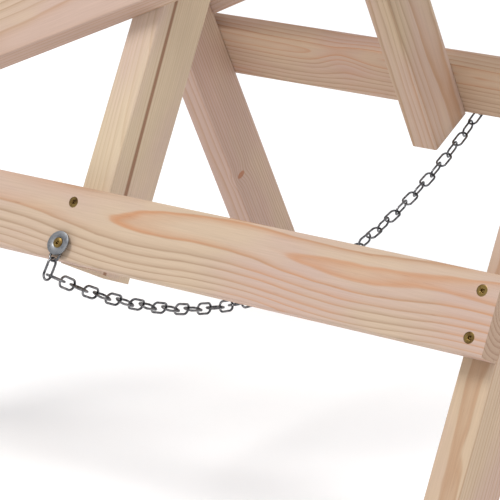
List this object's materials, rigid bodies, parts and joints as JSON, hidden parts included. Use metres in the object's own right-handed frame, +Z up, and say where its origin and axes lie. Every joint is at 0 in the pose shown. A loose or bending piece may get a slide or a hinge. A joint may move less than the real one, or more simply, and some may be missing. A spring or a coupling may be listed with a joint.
{
  "type": "folding sawbuck",
  "caption": "Folding wooden sawbuck: two leaning board frames crossed and bolted at their legs, with rails, braces and a slack spreader chain.",
  "frame": {"origin": "on the ground, under the middle of the open trestle", "axes": "+Z up, +X along the rails and the pivot axis, -Y towards the side of the near frame's feet"},
  "size_m": [0.7354, 0.8212, 1.0063],
  "materials": {
    "leg_wood": "raw planed pine",
    "rail_wood": "raw planed pine",
    "brace_wood": "raw planed pine",
    "yellow_zinc": "yellow-passivated zinc on steel",
    "bolt_zinc": "bright zinc plating",
    "chain_zinc": "bright zinc plating",
    "washer_zinc": "dull zinc plating"
  },
  "bodies": {
    "near_frame": {"near_left_leg": "leg_wood", "near_middle_leg": "leg_wood", "near_right_leg": "leg_wood", "near_rail": "rail_wood", "near_brace": "brace_wood", "near_rail_screws": "yellow_zinc", "near_brace_screws": "yellow_zinc", "pivot_bolts": "bolt_zinc", "pivot_spacers": "bolt_zinc", "pivot_washers": "bolt_zinc", "pivot_nuts": "bolt_zinc", "near_chain_screw": "yellow_zinc", "near_chain_washer": "washer_zinc", "near_anchor_link": "chain_zinc"},
    "far_frame": {"far_left_leg": "leg_wood", "far_middle_leg": "leg_wood", "far_right_leg": "leg_wood", "far_rail": "rail_wood", "far_brace": "brace_wood", "far_rail_screws": "yellow_zinc", "far_brace_screws": "yellow_zinc", "far_chain_screw": "yellow_zinc", "far_chain_washer": "washer_zinc", "far_anchor_link": "chain_zinc"},
    "chain_lead": {"chain_lead_link": "chain_zinc"},
    "chain_near_hang": {"chain_near_upper": "chain_zinc"},
    "chain_near_floor": {"chain_near_lower": "chain_zinc"},
    "chain_far_hang": {"chain_far_upper": "chain_zinc"},
    "chain_far_floor": {"chain_far_lower": "chain_zinc"}
  },
  "joints": [
    {"name": "frame_fold", "type": "hinge", "parent": "near_frame", "child": "far_frame", "pos_m": [0, 0, 0.727], "axis": [1, 0, 0], "range_deg": [-54, 0]},
    {"name": "chain_lead_swing", "type": "hinge", "parent": "near_frame", "child": "chain_lead", "pos_m": [-0.0308, -0.32017, 0.23], "axis": [1, 0, 0], "range_deg": [0, 25.01]},
    {"name": "chain_near_swing", "type": "hinge", "parent": "chain_lead", "child": "chain_near_hang", "pos_m": [-0.03102, -0.32499, 0.21952], "axis": [1, 0, 0], "range_deg": [-92.16, 0]},
    {"name": "chain_near_turn", "type": "hinge", "parent": "chain_near_hang", "child": "chain_near_floor", "pos_m": [-0.03386, -0.13678, 0.14022], "axis": [0.2551, 0.0937, 0.9624], "range_deg": [0, 85.06]},
    {"name": "chain_far_swing", "type": "hinge", "parent": "far_frame", "child": "chain_far_hang", "pos_m": [-0.0402, 0.32178, 0.22689], "axis": [1, 0, 0], "range_deg": [0, 117.85]},
    {"name": "chain_far_turn", "type": "hinge", "parent": "chain_far_hang", "child": "chain_far_floor", "pos_m": [-0.03801, 0.18245, 0.15847], "axis": [-0.3282, 0.191, -0.9251], "range_deg": [0, 85.11]}
  ],
  "couplings": [
    {"joint": "chain_lead_swing", "follows": "frame_fold", "ratio": -0.46296},
    {"joint": "chain_near_swing", "follows": "frame_fold", "ratio": 1.7065},
    {"joint": "chain_near_turn", "follows": "frame_fold", "ratio": -1.575},
    {"joint": "chain_far_swing", "follows": "frame_fold", "ratio": -2.1823},
    {"joint": "chain_far_turn", "follows": "frame_fold", "ratio": -1.5759}
  ]
}
